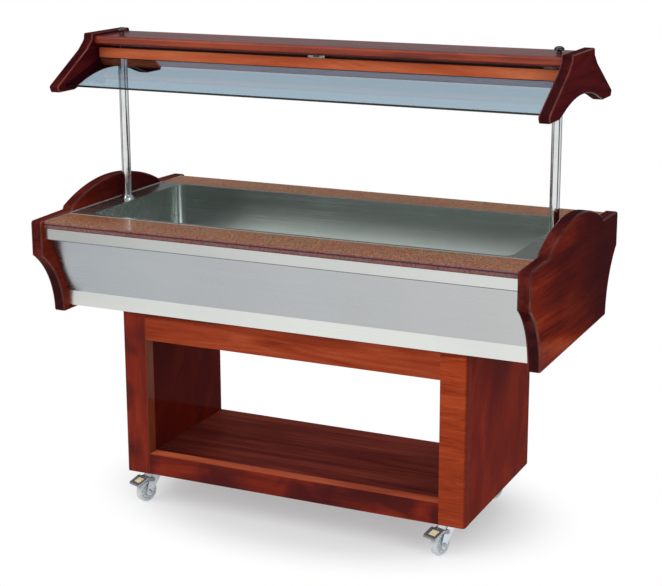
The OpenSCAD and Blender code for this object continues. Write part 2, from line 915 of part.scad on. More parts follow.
module castor_plates() {
    color(zinc)
    for (p = [front_left, front_right, rear_left, rear_right])
    translate([p[0], p[1], 0])
    difference() {
        union() {
            block([-plate_x / 2, -plate_y / 2, castor_h - plate_t],
                [plate_x / 2, plate_y / 2, castor_h]);
            translate([0, 0, castor_h - plate_t - race_h])
            cylinder(d1 = race_d - 8, d2 = race_d, h = race_h, $fn = 64);
            translate([0, 0, head_z - 5]) cylinder(d = kingpin_d, h = race_h + 10);
            translate([0, 0, head_z - 5.5]) cylinder(d = kingpin_d + 8, h = 5);
        }
        for (i = [-1, 1], j = [-1, 1])
        translate([i * (plate_x / 2 - 9), j * (plate_y / 2 - 8), castor_h - plate_t - cut])
        cylinder(d = plate_hole_d, h = plate_t + 2 * cut);
    }
}

// Outline of one fork leg, from the head plate down to the axle
module fork_leg_outline() {
    difference() {
        union() {
            polygon([[-18, head_z + fork_t], [20, head_z + fork_t], [33, head_z - 12],
                [trail + leg_tip, axle_z + 4], [trail - leg_tip, axle_z]]);
            translate([trail, axle_z]) circle(leg_tip);
        }
        translate([trail, axle_z]) circle(d = axle_d + 2 * run);
        translate([pivot_s, pivot_z]) circle(d = pin_d + 2 * run);
    }
}

module castor_fork(p) {
    color(zinc)
    at_castor(p) {
        difference() {
            translate([0, 0, head_z]) linear_extrude(fork_t)
            union() {
                translate([-18, -leg_y - fork_t]) square([38, 2 * (leg_y + fork_t)]);
                circle(22);
            }
            translate([0, 0, head_z - cut]) cylinder(d = kingpin_d + 2 * run, h = fork_t + 2 * cut);
        }
        for (s = [0, 1]) mirror([0, s, 0])
        translate([0, leg_y + fork_t, 0]) rotate([90, 0, 0]) linear_extrude(fork_t)
        fork_leg_outline();
        // Axle bolt with its head and nut
        translate([trail, 0, axle_z]) rotate([90, 0, 0]) {
            cylinder(d = axle_d, h = 2 * (leg_y + fork_t + 3), center = true);
            for (s = [-1, 1]) translate([0, 0, s * (leg_y + fork_t + 2.5)])
            cylinder(d = 13, h = 5, center = true, $fn = 6);
        }
    }
}

module castor_wheel(p) {
    color("#c7cbd0")
    at_castor(p) translate([trail, 0, axle_z]) rotate([90, 0, 0])
    rotate_extrude($fn = 72)
    polygon([[axle_d / 2 + run, -wheel_w / 2], [10, -wheel_w / 2], [10, -wheel_w / 2 + 4],
        [wheel_d / 2 - 9, -wheel_w / 2 + 4], [wheel_d / 2 - 7, -wheel_w / 2 + 1],
        [wheel_d / 2 - 3, -wheel_w / 2 + 1], [wheel_d / 2, -wheel_w / 2 + 5],
        [wheel_d / 2, wheel_w / 2 - 5], [wheel_d / 2 - 3, wheel_w / 2 - 1],
        [wheel_d / 2 - 7, wheel_w / 2 - 1], [wheel_d / 2 - 9, wheel_w / 2 - 4],
        [10, wheel_w / 2 - 4], [10, wheel_w / 2], [axle_d / 2 + run, wheel_w / 2]]);
}

pedal_w = 46;
ear_t = 2;
ear_gap = 0.5;
pedal_s0 = trail + 6;
pedal_s1 = trail + wheel_d / 2 + 11.5;
pedal_top = pivot_z + 8;
pedal_drop = 12;

// Brake pedal: a bent tread over the wheel, carried by two ears on a pin
module brake_pedal(p) {
    color("#8d9094")
    at_castor(p) {
        ear_y = leg_y + fork_t + ear_gap;
        rotate([90, 0, 0]) linear_extrude(pedal_w, center = true)
        polygon([[pedal_s0, pedal_top], [pedal_s0 + 6, pedal_top],
            [pedal_s1, pedal_top - pedal_drop], [pedal_s1 + 2, pedal_top - pedal_drop - 5],
            [pedal_s1, pedal_top - pedal_drop - 5.5], [pedal_s1 - 1.5, pedal_top - pedal_drop - 2],
            [pedal_s0 + 5.5, pedal_top - 2.2], [pedal_s0, pedal_top - 2.2]]);
        for (s = [0, 1]) mirror([0, s, 0])
        translate([0, ear_y + ear_t, 0]) rotate([90, 0, 0]) linear_extrude(ear_t)
        union() {
            translate([pivot_s, pivot_z]) circle(7);
            polygon([[pivot_s, pivot_z + 7], [pedal_s0, pedal_top - 1],
                [pedal_s0 + 14, pedal_top - 4.5], [pivot_s, pivot_z - 7]]);
        }
        translate([pivot_s, 0, pivot_z]) rotate([90, 0, 0])
        cylinder(d = pin_d, h = 2 * (ear_y + ear_t), center = true);
    }
}

// ---- Assembly --------------------------------------------------------------

cheek_left();
cheek_right();
stone_front();
stone_rear();
well_liner();
well_insulation();
body_floor();
counter_rails();
body_battens();
upper_band_front();
upper_band_rear();
fascia_panel_front();
fascia_panel_rear();
lower_band_front();
lower_band_rear();
base_stile_left();
base_stile_right();
base_rail_top();
base_rail_bottom();
base_rail_rear();
base_side_left();
base_side_right();
base_shelf();
base_top();
post_left();
post_right();
deck_collars();
post_feet();
post_seats();
canopy_board();
canopy_bracket_left();
canopy_bracket_right();
canopy_rail_front();
canopy_rail_rear();
glass_front();
glass_rear();
lamp_housing();
lamp_tube();
lamp_holders();
lamp_diffuser();
switch_plate();
lamp_rocker();
knob_left();
knob_right();
drain_pipe();
drain_valve();
drain_lever();
false_bottom_left();
false_bottom_right();
castor_plates();
castor_fork(front_left);  // castor_fork_front_left
castor_fork(front_right);  // castor_fork_front_right
castor_fork(rear_left);  // castor_fork_rear_left
castor_fork(rear_right);  // castor_fork_rear_right
castor_wheel(front_left);  // castor_wheel_front_left
castor_wheel(front_right);  // castor_wheel_front_right
castor_wheel(rear_left);  // castor_wheel_rear_left
castor_wheel(rear_right);  // castor_wheel_rear_right
brake_pedal(front_left);  // brake_pedal_left
brake_pedal(front_right);  // brake_pedal_right
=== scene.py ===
"""Mobile salad bar: looks, fine detail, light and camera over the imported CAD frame.

Metres, floor at z = 0, +X along the counter, -Y the front.
"""
import math

import bmesh
import bpy
from mathutils import Matrix, Vector


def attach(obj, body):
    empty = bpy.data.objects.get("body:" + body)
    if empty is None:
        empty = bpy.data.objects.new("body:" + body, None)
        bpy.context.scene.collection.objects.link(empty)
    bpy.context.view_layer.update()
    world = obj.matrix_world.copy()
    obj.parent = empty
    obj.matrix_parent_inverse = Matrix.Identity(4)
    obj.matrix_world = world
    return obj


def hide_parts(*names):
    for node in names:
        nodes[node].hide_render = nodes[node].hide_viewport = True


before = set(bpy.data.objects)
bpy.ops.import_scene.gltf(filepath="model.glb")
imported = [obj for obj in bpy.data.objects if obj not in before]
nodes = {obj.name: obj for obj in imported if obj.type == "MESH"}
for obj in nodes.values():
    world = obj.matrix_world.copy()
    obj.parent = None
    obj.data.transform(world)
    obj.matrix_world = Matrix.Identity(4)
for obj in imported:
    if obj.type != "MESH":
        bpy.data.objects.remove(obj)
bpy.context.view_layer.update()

# ---- Levels and places shared with the CAD ---------------------------------

SIDES = (("left", -1), ("right", 1))
INNER_X = 0.713          # cheeks' inner faces
CANOPY_X = 0.7165        # ends of the canopy's strips, just inside the brackets
STONE_TOP = 0.865
STONE_FOOT = 0.845
STONE_ROUND = (0.3925, 0.3940)     # where the round-over of the stones' outer edge lies
STONE_END_Y = 0.3905     # outer end of the joint between stone and cheek
DECK_TOP = 0.8662
DECK_Y = 0.2660          # edges of the steel deck, on the stones
POST_X = 0.680
BOARD_TOP = 1.368
RAIL_Y = 0.070           # outer faces of the canopy's rails
RAIL_Z = 1.302           # level of the glass at that distance
GLASS_SLOPE = math.radians(18)
GLASS_DROP = 0.00635     # thickness of the pane, measured upright
LEVER_Z = 0.540
CASTOR_TURN = math.radians(250)
CASTORS = {"front_left": (-0.472, -0.226), "front_right": (0.472, -0.226),
           "rear_left": (-0.472, 0.226), "rear_right": (0.472, 0.226)}
TRAIL = 0.034
AXLE_Z = 0.0325
HEAD_Z = 0.0827          # underside of a fork's head
HEAD_T = 0.0025
PLATE_Z = 0.0915         # underside of a castor's top plate
PLATE_HOLE = (0.028, 0.022)


# ---- Node helpers ----------------------------------------------------------

def rgb(value):
    """Linear colour from an sRGB hex string; other values pass through."""
    if not isinstance(value, str):
        return value
    parts = [int(value[i:i + 2], 16) / 255 for i in (1, 3, 5)]
    return tuple(v / 12.92 if v <= 0.04045 else ((v + 0.055) / 1.055) ** 2.4
                 for v in parts) + (1.0,)


def darker(colour, part):
    """A hex colour times a number."""
    return tuple(c * part for c in rgb(colour)[:3]) + (1.0,)


def even(tones):
    """Colour stops at equal distances."""
    return [(i / (len(tones) - 1), tone) for i, tone in enumerate(tones)]


class Graph:
    """The node tree of a material or world, with short calls for the nodes used here."""

    def __init__(self, owner, shader, **sockets):
        owner.use_nodes = True
        self.owner = owner
        self.tree = owner.node_tree
        self.shader = self.tree.nodes[shader]
        for key, value in sockets.items():
            self.shader.inputs[key.replace("_", " ")].default_value = value
        self.coords = self.node("TexCoord").outputs
        self.here = self.coords["Object"]

    def set(self, socket, value):
        if isinstance(value, bpy.types.NodeSocket):
            self.tree.links.new(value, socket)
        else:
            socket.default_value = value

    def node(self, kind, inputs=None, **props):
        n = self.tree.nodes.new("ShaderNode" + kind)
        for key, value in props.items():
            setattr(n, key, value)
        for key, value in (inputs or {}).items():
            self.set(n.inputs[key], value)
        return n

    def math(self, op, a, b=0.0):
        return self.node("Math", {0: a, 1: b}, operation=op).outputs[0]

    def mix(self, fac, a, b, blend="MIX"):
        """Two colours mixed; a colour is a socket, a tuple or an sRGB hex string."""
        n = self.node("Mix", data_type="RGBA", blend_type=blend)
        for key, value in (("Factor_Float", fac), ("A_Color", a), ("B_Color", b)):
            self.set(next(s for s in n.inputs if s.identifier == key), rgb(value))
        return next(s for s in n.outputs if s.identifier == "Result_Color")

    def ramp(self, fac, stops, mode="LINEAR"):
        n = self.node("ValToRGB", {"Fac": fac})
        n.color_ramp.interpolation = mode
        elements = n.color_ramp.elements
        while len(elements) < len(stops):
            elements.new(0.5)
        for element, (at, colour) in zip(elements, stops):
            element.position = at
            element.color = rgb(colour)
        return n.outputs["Color"]

    def level(self, value, lo, hi, to_lo=0.0, to_hi=1.0):
        return self.node("MapRange", {"Value": value, "From Min": lo, "From Max": hi,
                                      "To Min": to_lo, "To Max": to_hi}).outputs["Result"]

    def swing(self, value, weight):
        """A noise about its middle, times a weight."""
        return self.math("MULTIPLY", self.math("SUBTRACT", value, 0.5), weight)

    def noise(self, vector, scale=1.0, detail=3.0, rough=0.5, distort=0.0):
        return self.node("TexNoise", {"Vector": vector, "Scale": scale, "Detail": detail,
                                      "Roughness": rough, "Distortion": distort}).outputs["Fac"]

    def moved(self, vector, **settings):
        settings["Vector"] = vector
        return self.node("Mapping", settings).outputs[0]

    def along(self, axis):
        """The object coordinate along axis 0, 1 or 2."""
        return self.node("SeparateXYZ", {0: self.here}).outputs[axis]

    def axes(self, scale, order="xyz", offset=(0, 0, 0)):
        """Object coordinates taken in the given order, scaled and moved."""
        split = self.node("SeparateXYZ", {0: self.here}).outputs
        joined = self.node("CombineXYZ", {i: split["xyz".index(a)] for i, a in enumerate(order)})
        return self.moved(joined.outputs[0], Scale=scale, Location=offset)

    def bump(self, height, strength, distance):
        return self.node("Bump", {"Height": height, "Strength": strength,
                                  "Distance": distance}).outputs["Normal"]

    def feed(self, **links):
        """Link the shader's sockets and give back the material or world."""
        for key, value in links.items():
            self.tree.links.new(value, self.shader.inputs[key.replace("_", " ")])
        return self.owner


def material(name, **sockets):
    return Graph(bpy.data.materials.new(name), "Principled BSDF", **sockets)


# The grain's axis first. Where a second is named, it lies in the board's face.
GRAIN = {"x": "xyz", "z": "zxy", "yz": "yzx", "zy": "zyx", "xz": "xzy"}


def wood(name, grain, tones, seed, rough=0.34, coat=0.12, flame=(1.6, 13.0), cloud=0.5,
         slant=0.0, blotch=0.0, spread=1.0, level=0.02, lip=None, broad=0.0, dim=None):
    """Lacquered mahogany: clouded figure, flames, fibres, filled pores and dark areas.

    slant turns the grain in the board's face. blotch and broad are the strengths of small
    and of wide dark areas. lip is (axis, from, to, tones): other tones beyond that distance
    along an axis, painted light where they are lighter and painted shade where they are darker,
    on one face of the piece. dim is (axis, from, to, amount): darker towards one end.
    """
    g = material(name, Coat_Weight=coat, Coat_Roughness=0.09, Coat_IOR=1.5,
                 Specular_IOR_Level=level)
    at = (seed * 3.7, seed * 1.9, seed * 5.3)     # another stretch of the noise for each board
    base = g.axes((1, 1, 1), GRAIN[grain])
    if slant:
        base = g.moved(base, Rotation=(0, 0, -slant))

    def stretched(lengthwise, across):
        return g.moved(base, Scale=(lengthwise, across, across), Location=at)

    warp = g.noise(stretched(2.2, 5.0), 1.0, 2.0, 0.5)
    flames = g.noise(stretched(*flame), 1.0, 4.0, 0.55, 1.6)
    lines = g.noise(stretched(2.4, 62.0), 1.0, 3.0, 0.6, 0.8)
    fibre = g.noise(stretched(7.0, 190.0), 1.0, 5.0, 0.65)
    pore = g.noise(stretched(34.0, 900.0), 1.0, 2.0, 0.5)
    shade = g.math("SUBTRACT", g.math("MULTIPLY", flames, 0.62), 0.31)
    for value, weight in ((lines, 0.20), (fibre, 0.16), (warp, cloud)):
        shade = g.math("ADD", shade, g.swing(value, weight))
    reach = 0.16 * spread
    tone = g.level(shade, -reach, reach)
    colour = g.ramp(tone, even(tones))
    if broad:
        wide = g.level(g.noise(stretched(1.5, 3.2), 1.0, 1.0, 0.4), 0.42, 0.62)
        colour = g.mix(g.math("MULTIPLY", wide, broad), colour, tones[0])
    # darker towards one end along an axis; in the cheek's downward cove this is painted shade
    if dim:
        axis, low, high, amount = dim
        wavy = g.math("ADD", g.along(axis), g.swing(warp, 0.5 * abs(high - low)))
        colour = g.mix(g.level(wavy, low, high, 0.0, amount), colour, tones[0])
    if blotch:
        patch = g.level(g.noise(stretched(6.5, 8.0), 1.0, 2.0, 0.5, 0.5), 0.48, 0.64)
        colour = g.mix(g.math("MULTIPLY", patch, blotch), colour, tones[0])
    # painted light and shade: other tones on one face of the piece, chosen by position
    if lip:
        axis, low, high, lighter = lip
        beyond = g.level(g.math("ABSOLUTE", g.along(axis)), low, high)
        colour = g.mix(beyond, colour, g.ramp(tone, even(lighter)))
    pores = g.level(pore, 0.60, 0.72)
    colour = g.mix(g.math("MULTIPLY", pores, 0.5), colour, darker(tones[0], 0.5))
    height = g.math("SUBTRACT", g.math("MULTIPLY", fibre, 0.4), pores)
    return g.feed(Base_Color=colour,
                  Roughness=g.level(fibre, 0.3, 0.7, rough - 0.05, rough + 0.07),
                  Normal=g.bump(height, 0.22, 0.0002))


def timber(name, pale, deep, seed):
    """Unfinished softwood and plywood of the hidden framing, its grain along X."""
    g = material(name)
    at = (seed * 2.3, seed * 4.1, seed)
    rings = g.noise(g.axes((1.4, 22, 22), offset=at), 1.0, 4.0, 0.5, 1.0)
    fibre = g.noise(g.axes((9, 260, 260), offset=at), 1.0, 4.0, 0.6)
    tone = g.math("ADD", g.math("MULTIPLY", rings, 0.7), g.math("MULTIPLY", fibre, 0.3))
    return g.feed(Base_Color=g.ramp(g.level(tone, 0.36, 0.66), even((deep, pale))),
                  Roughness=g.level(fibre, 0.3, 0.7, 0.62, 0.8),
                  Normal=g.bump(fibre, 0.35, 0.0004))


def granite(name):
    """Polished red granite: orange, pink and olive crystals with black mica."""
    g = material(name, Coat_Weight=0.06, Coat_Roughness=0.06, Specular_IOR_Level=0.04)

    def cells(scale, seed):
        """A random value for each crystal, and the distance from its middle."""
        v = g.moved(g.here, Location=(seed, seed * 2.1, seed * 0.7))
        wobble = g.node("TexNoise", {"Vector": v, "Scale": scale * 0.9, "Detail": 2.0})
        wobble = g.node("VectorMath", {0: wobble.outputs["Color"], "Scale": 0.9 / scale},
                        operation="SCALE").outputs[0]
        warped = g.node("VectorMath", {0: v, 1: wobble}, operation="ADD").outputs[0]
        cell = g.node("TexVoronoi", {"Vector": warped, "Scale": scale, "Randomness": 1.0})
        value = g.node("SeparateColor", {"Color": cell.outputs["Color"]}).outputs[0]
        return value, cell.outputs["Distance"]

    small, edge = cells(430.0, 3.0)
    large, _ = cells(190.0, 8.0)
    red = g.ramp(small, [(0.0, "#50302a"), (0.12, "#974c35"), (0.38, "#a9623f"),
                         (0.58, "#7d4537"), (0.76, "#b88560"), (0.92, "#77654b")], "CONSTANT")
    olive = g.ramp(small, [(0.0, "#463a2e"), (0.20, "#88754f"), (0.45, "#6f5c42"),
                           (0.66, "#94604a"), (0.85, "#9c8d70")], "CONSTANT")
    colour = g.mix(g.level(large, 0.62, 0.72), red, olive)
    tint = g.moved(g.here, Location=(4.0, 1.0, 7.0))
    clouds = g.level(g.noise(tint, 42.0, 2.0, 0.5), 0.50, 0.68, 0.0, 0.40)
    colour = g.mix(clouds, colour, "#7c6a48")
    clouds = g.level(g.noise(g.here, 9.0, 3.0, 0.5), 0.35, 0.75, 0.0, 0.30)
    colour = g.mix(clouds, colour, "#8a3f30")
    mica = g.level(g.noise(g.here, 620.0, 2.0, 0.6), 0.62, 0.67)
    colour = g.mix(g.math("MULTIPLY", mica, 0.7), colour, "#2a2022")
    # the outer edge is a pinker, darker copy of the stone, painted shade, with a dark line of
    # painted shade below the round-over and a dark foot of painted shade
    outer = g.level(g.math("ABSOLUTE", g.along(1)), *STONE_ROUND)
    pink = g.mix(1.0, colour, "#e8d6e8", "MULTIPLY")
    clouds = g.level(g.noise(tint, 130.0, 2.0, 0.6), 0.42, 0.58, 0.12, 0.80)
    pink = g.mix(clouds, pink, "#7c5f68")
    pink = g.mix(g.level(edge, 0.0, 0.0016, 0.25, 0.0), pink, "#c9999a")
    colour = g.mix(outer, colour, pink)
    # painted shade: the dark line under the round-over and the dark foot
    z = g.math("SUBTRACT", g.along(2), STONE_FOOT)
    line = g.math("MULTIPLY", g.level(z, 0.0100, 0.0112), g.level(z, 0.0138, 0.0150, 1.0, 0.0))
    foot = g.level(z, 0.0012, 0.0028, 0.6, 0.0)
    dark = g.math("MAXIMUM", g.math("MULTIPLY", line, 0.75), foot)
    colour = g.mix(g.math("MULTIPLY", dark, outer), colour, "#2e1517")
    return g.feed(Base_Color=colour, Roughness=g.level(small, 0.0, 1.0, 0.10, 0.20),
                  Normal=g.bump(edge, 0.05, 0.0001))


def brushed(name, colour, rough, tint=None, smear=0.0, end=None):
    """Stainless sheet brushed along X; end is a lighter tone towards +X, a painted reflection."""
    g = material(name, Metallic=1.0)
    fine = g.noise(g.axes((2.5, 1900, 1900)), 1.0, 3.0, 0.6)
    broad = g.noise(g.axes((0.9, 60, 60)), 1.0, 3.0, 0.5)
    cloud = g.noise(g.here, 3.0, 3.0, 0.5)
    mixed = g.mix(g.math("MULTIPLY", fine, 0.6), colour, darker(colour, 0.9))
    mixed = g.mix(g.level(cloud, 0.35, 0.7), mixed, tint or colour)
    # painted reflection: a lighter tone towards +X
    if end:
        mixed = g.mix(g.level(g.along(0), -0.6, 0.7), mixed, end)
    streaks = g.math("ADD", g.math("MULTIPLY", fine, 0.6), g.math("MULTIPLY", broad, 0.4))
    roughness = g.math("ADD", g.level(streaks, 0.3, 0.7, rough - 0.05, rough + 0.06),
                       g.level(cloud, 0.3, 0.7, -smear, smear))
    return g.feed(Base_Color=mixed, Roughness=roughness, Normal=g.bump(fine, 0.06, 0.00006))


def polished(name, colour, rough=0.06, wear=0.05, metallic=1.0):
    """Plated metal with faint polishing haze."""
    g = material(name, Metallic=metallic)
    haze = g.noise(g.here, 42.0, 4.0, 0.6)
    spots = g.noise(g.here, 330.0, 2.0, 0.5)
    roughness = g.math("ADD", g.level(haze, 0.3, 0.7, rough, rough + wear),
                       g.level(spots, 0.55, 0.7, 0.0, wear * 0.5))
    return g.feed(Base_Color=g.mix(g.level(haze, 0.4, 0.7), colour, darker(colour, 0.88)),
                  Roughness=roughness)


def plastic(name, colour, other, rough=0.25, coat=0.0, grain=900.0, depth=0.00003, scatter=0.0):
    """Moulded plastic with a faint texture and slight variation."""
    g = material(name, Coat_Weight=coat, Coat_Roughness=0.05, Subsurface_Weight=scatter,
                 Subsurface_Scale=0.01)
    cloud = g.noise(g.here, 30.0, 3.0, 0.5)
    fine = g.noise(g.here, grain, 2.0, 0.5)
    return g.feed(Base_Color=g.mix(g.level(cloud, 0.35, 0.7), colour, other),
                  Roughness=g.level(cloud, 0.3, 0.7, rough - 0.03, rough + 0.05),
                  Normal=g.bump(fine, 0.25, depth))


def enamel_and_shade(name, inside, outside, at):
    """White enamel inside; dark brown on the long sides beyond |y| = at, painted shade for the
    gap under the top board.
    """
    g = material(name, Specular_IOR_Level=0.3)
    cloud = g.noise(g.here, 30.0, 3.0, 0.5)
    pale = g.mix(g.level(cloud, 0.35, 0.7), inside, darker(inside, 0.95))
    # painted shade: the long outer sides dark, standing for the shadow in the gap under the board
    dark = g.mix(g.level(cloud, 0.35, 0.7), outside, darker(outside, 0.7))
    side = g.level(g.math("ABSOLUTE", g.along(1)), at - 0.0004, at - 0.0002)
    fine = g.noise(g.here, 900.0, 2.0, 0.5)
    return g.feed(Base_Color=g.mix(side, pale, dark),
                  Roughness=g.level(cloud, 0.3, 0.7, 0.38, 0.5),
                  Normal=g.bump(fine, 0.2, 0.00003))


def tinted_glass(name):
    """Grey-blue pane, darker and greener at its polished free edge."""
    g = material(name, Transmission_Weight=1.0, IOR=1.45, Specular_IOR_Level=0.5)
    edge = g.level(g.math("ABSOLUTE", g.along(1)), 0.2496, 0.2514)
    dust = g.noise(g.here, 60.0, 3.0, 0.6)
    return g.feed(Base_Color=g.mix(edge, "#a6bbc9", "#8aa5a5"),
                  Roughness=g.level(dust, 0.45, 0.75, 0.0, 0.02))


# ---- Materials -------------------------------------------------------------

MATERIALS = {
    "cheek": wood("mahogany_cheek", "yz", ("#310d12", "#571711", "#7b2613", "#9c3d19"), 6.1,
                  rough=0.32, coat=0.06, flame=(1.2, 8.0), cloud=0.45, slant=-0.04, level=0.0,
                  spread=1.3, broad=0.55, dim=(1, -0.05, 0.22, 0.8)),
    # the cheeks' edge faces in darker tones than their sides, darker still towards the cove:
    # painted shade
    "cheek_edge": wood("mahogany_cheek_edge_painted_shade", "yz", ("#280d11", "#491715", "#68251b"), 1.5,
                       rough=0.30, coat=0.05, level=0.0, dim=(2, 0.74, 0.68, 0.7)),
    "bracket": wood("mahogany_bracket", "yz", ("#290a0e", "#3f0e13", "#571518"), 2.0,
                    rough=0.30, coat=0.05, level=0.0),
    # the brackets' edge faces in darker tones than their sides: painted shade
    "bracket_edge": wood("mahogany_bracket_edge_painted_shade", "yz", ("#210a0e", "#350d10", "#521714"), 2.5,
                         rough=0.28, coat=0.04, level=0.0),
    # the round-over in lighter, glossier tones: painted highlight
    "arris_highlight": wood("mahogany_arris_painted_highlight", "yz", ("#3f1513", "#5c231a", "#7a3828"), 2.8,
                  rough=0.24, coat=0.35, cloud=0.4, level=0.05),
    # the nosing's front face in lighter, more orange tones: painted light
    "board": wood("mahogany_board", "x", ("#451518", "#641e20", "#80302a"), 3.0,
                  rough=0.24, coat=0.4, cloud=0.4, level=0.1,
                  lip=(1, 0.0885, 0.0905, ("#6a1f14", "#8f3419", "#a54723"))),
    "rail": wood("mahogany_canopy_rail", "xz", ("#a84422", "#c7603a", "#da7a50"), 4.0,
                 coat=0.15, cloud=0.3),
    "frame_x": wood("mahogany_rail", "xz", ("#6e210f", "#8d3316", "#9d3f20", "#ad5030"), 5.0,
                    rough=0.36, flame=(2.2, 30.0), cloud=0.3),
    # the bottom rail's top face in lighter tones: painted light
    "foot_x": wood("mahogany_bottom_rail", "xz", ("#451111", "#7c2414", "#9d3d1f"), 6.0,
                   rough=0.36, coat=0.10, cloud=0.4, blotch=0.85, spread=1.2,
                   lip=(2, 0.1570, 0.1577, ("#9c4028", "#bc5838", "#d47349"))),
    # the outer side beyond x = 0.5365 in darker tones: painted shade; the stile is also darker
    # towards the floor
    "stile_r": wood("mahogany_stile_right", "xz", ("#6a2113", "#94381c", "#a84423", "#b8562f"),
                    7.0, rough=0.38, coat=0.06, flame=(5.0, 42.0), cloud=0.25, level=0.0,
                    spread=1.25, lip=(0, 0.5300, 0.5365, ("#5a1a12", "#7d2b19")),
                    dim=(2, 0.42, 0.20, 0.3)),
    # the inner return beside the opening in lighter tones: painted light
    "stile_l": wood("mahogany_stile_left", "z", ("#451312", "#7a2314", "#93371f"), 8.0,
                    rough=0.36, flame=(1.6, 9.0), cloud=0.4, blotch=0.9, spread=1.5,
                    lip=(0, 0.4614, 0.4611, ("#6a2c18", "#8d4526"))),
    "side": wood("mahogany_side_panel", "zy", ("#501513", "#6e1e15", "#902f18"), 9.0,
                 rough=0.36, coat=0.04, flame=(2.4, 5.0), cloud=0.6, slant=0.35, level=0.0,
                 spread=1.5, broad=0.6),
    "shelf": wood("mahogany_shelf", "x", ("#55211f", "#78322b", "#914436"), 10.0,
                  rough=0.44, coat=0.08, flame=(1.2, 18.0), cloud=0.3, level=0.0),
    "timber": timber("plain_timber", "#c8a274", "#9d7044", 11.0),
    "plywood": timber("birch_plywood", "#c9ab82", "#a98253", 12.0),
    "granite": granite("red_granite"),
    "band": brushed("stainless_band", "#e6e8e4", 0.30, "#dcdfdb"),
    # the upper band and the fascia turn lighter towards +X: painted reflection
    "band_top": brushed("stainless_upper_band", "#cbceca", 0.30, "#bfc2bf", end="#d6d9d5"),
    "fascia": brushed("satin_fascia", "#b0b5b9", 0.26, "#a8adb1", smear=0.03, end="#bfc1c1"),
    "well": brushed("stainless_well", "#c6ccc8", 0.24, "#bcc4bf", smear=0.03),
    "plate": brushed("perforated_plate", "#d4d7d6", 0.30, "#c9cdcc"),
    "switch": brushed("switch_plate", "#8d8b86", 0.34),
    "chrome": polished("chrome_plate", "#dfe1e2", 0.05, 0.04),
    "zinc": polished("zinc_plate", "#e2e9ef", 0.24, 0.10),
    "steel_screw": polished("zinc_screw", "#b9bec2", 0.24, 0.10),
    "brass": polished("brass", "#c29a4e", 0.26, 0.12),
    "gilt": polished("passivated_pad", "#fff3cf", 0.32, 0.15, 0.35),
    "pedal": polished("pedal_steel", "#9a9d9f", 0.34, 0.14, 0.8),
    "glass": tinted_glass("tinted_glass"),
    "knob": plastic("black_knob", "#0c0c0d", "#141315", 0.18, 0.6),
    "lever": plastic("red_lever", "#a3161b", "#8c1216", 0.30, 0.3),
    "enamel": enamel_and_shade("lamp_enamel_shaded_sides", "#e6e6e1", "#1d0f0e", 0.050),
    "white": plastic("white_plastic", "#e9e9e4", "#dfdfda", 0.42),
    "opal": plastic("opal_diffuser", "#f2f2ec", "#e9eae4", 0.28, 0.2, scatter=0.3),
    "tube": plastic("lamp_tube", "#f6f6f2", "#efefeb", 0.16, 0.5, scatter=0.3),
    "tyre": plastic("grey_tyre", "#d6dde0", "#c9d1d5", 0.30, 0.3),
    "core": plastic("wheel_core", "#e0e4e6", "#d4dadd", 0.28, 0.3),
    "sealant": plastic("clear_sealant", "#8f9691", "#828a84", 0.34, 0.2),
    "seal": plastic("black_seal", "#1a1b1c", "#222324", 0.55),
    "joint": plastic("grey_joint_painted_shade", "#7b7f82", "#6f7376", 0.55),
    "foam": plastic("foam", "#d8c68c", "#c9b577", 0.9, grain=220.0, depth=0.0008),
}

CAD_MATERIALS = {
    "cheek": ("cheek_left", "cheek_right"),
    "bracket": ("canopy_bracket_left", "canopy_bracket_right"),
    "board": ("canopy_board",),
    "rail": ("canopy_rail_front", "canopy_rail_rear"),
    "frame_x": ("base_rail_top", "base_rail_rear"),
    "foot_x": ("base_rail_bottom",),
    "stile_r": ("base_stile_right",),
    "stile_l": ("base_stile_left",),
    "side": ("base_side_left", "base_side_right"),
    "shelf": ("base_shelf", "base_top"),
    "timber": ("counter_rails", "body_battens"),
    "plywood": ("body_floor",),
    "granite": ("stone_front", "stone_rear"),
    "band": ("lower_band_front", "lower_band_rear"),
    "band_top": ("upper_band_front", "upper_band_rear"),
    "fascia": ("fascia_panel_front", "fascia_panel_rear"),
    "well": ("well_liner", "drain_pipe"),
    "plate": ("false_bottom_left", "false_bottom_right"),
    "chrome": ("post_left", "post_right", "deck_collars", "post_feet", "post_seats"),
    "zinc": ("castor_plates",) + tuple("castor_fork_" + key for key in CASTORS),
    "core": tuple("castor_wheel_" + key for key in CASTORS),
    "pedal": ("brake_pedal_left", "brake_pedal_right"),
    "brass": ("drain_valve",),
    "lever": ("drain_lever",),
    "glass": ("glass_front", "glass_rear"),
    "knob": ("knob_left", "knob_right", "lamp_rocker"),
    "enamel": ("lamp_housing",),
    "white": ("lamp_holders",),
    "opal": ("lamp_diffuser",),
    "tube": ("lamp_tube",),
    "foam": ("well_insulation",),
    "switch": ("switch_plate",),
}
for key, names in CAD_MATERIALS.items():
    for name in names:
        data = nodes[name].data
        data.materials.clear()
        data.materials.append(MATERIALS[key])


# ---- Edges of the CAD pieces -----------------------------------------------

# Width of the small radius that lets a sharp edge catch the light
SOFT_EDGES = {
    0.0008: ("base_shelf",),
    0.0012: ("base_stile_left", "base_stile_right", "base_rail_top",
             "canopy_rail_front", "canopy_rail_rear"),
    0.0015: ("base_rail_rear", "base_side_left", "base_side_right"),
    0.0018: ("base_rail_bottom",),
}
for width, names in SOFT_EDGES.items():
    for name in names:
        weld = nodes[name].modifiers.new("weld", "WELD")
        weld.merge_threshold = 0.00001
        bevel = nodes[name].modifiers.new("edge", "BEVEL")
        bevel.width = width
        bevel.segments = 2
        bevel.limit_method = "ANGLE"
        bevel.angle_limit = math.radians(35)


# ---- Mesh helpers ----------------------------------------------------------
# A shape is a pair: vertices and faces.

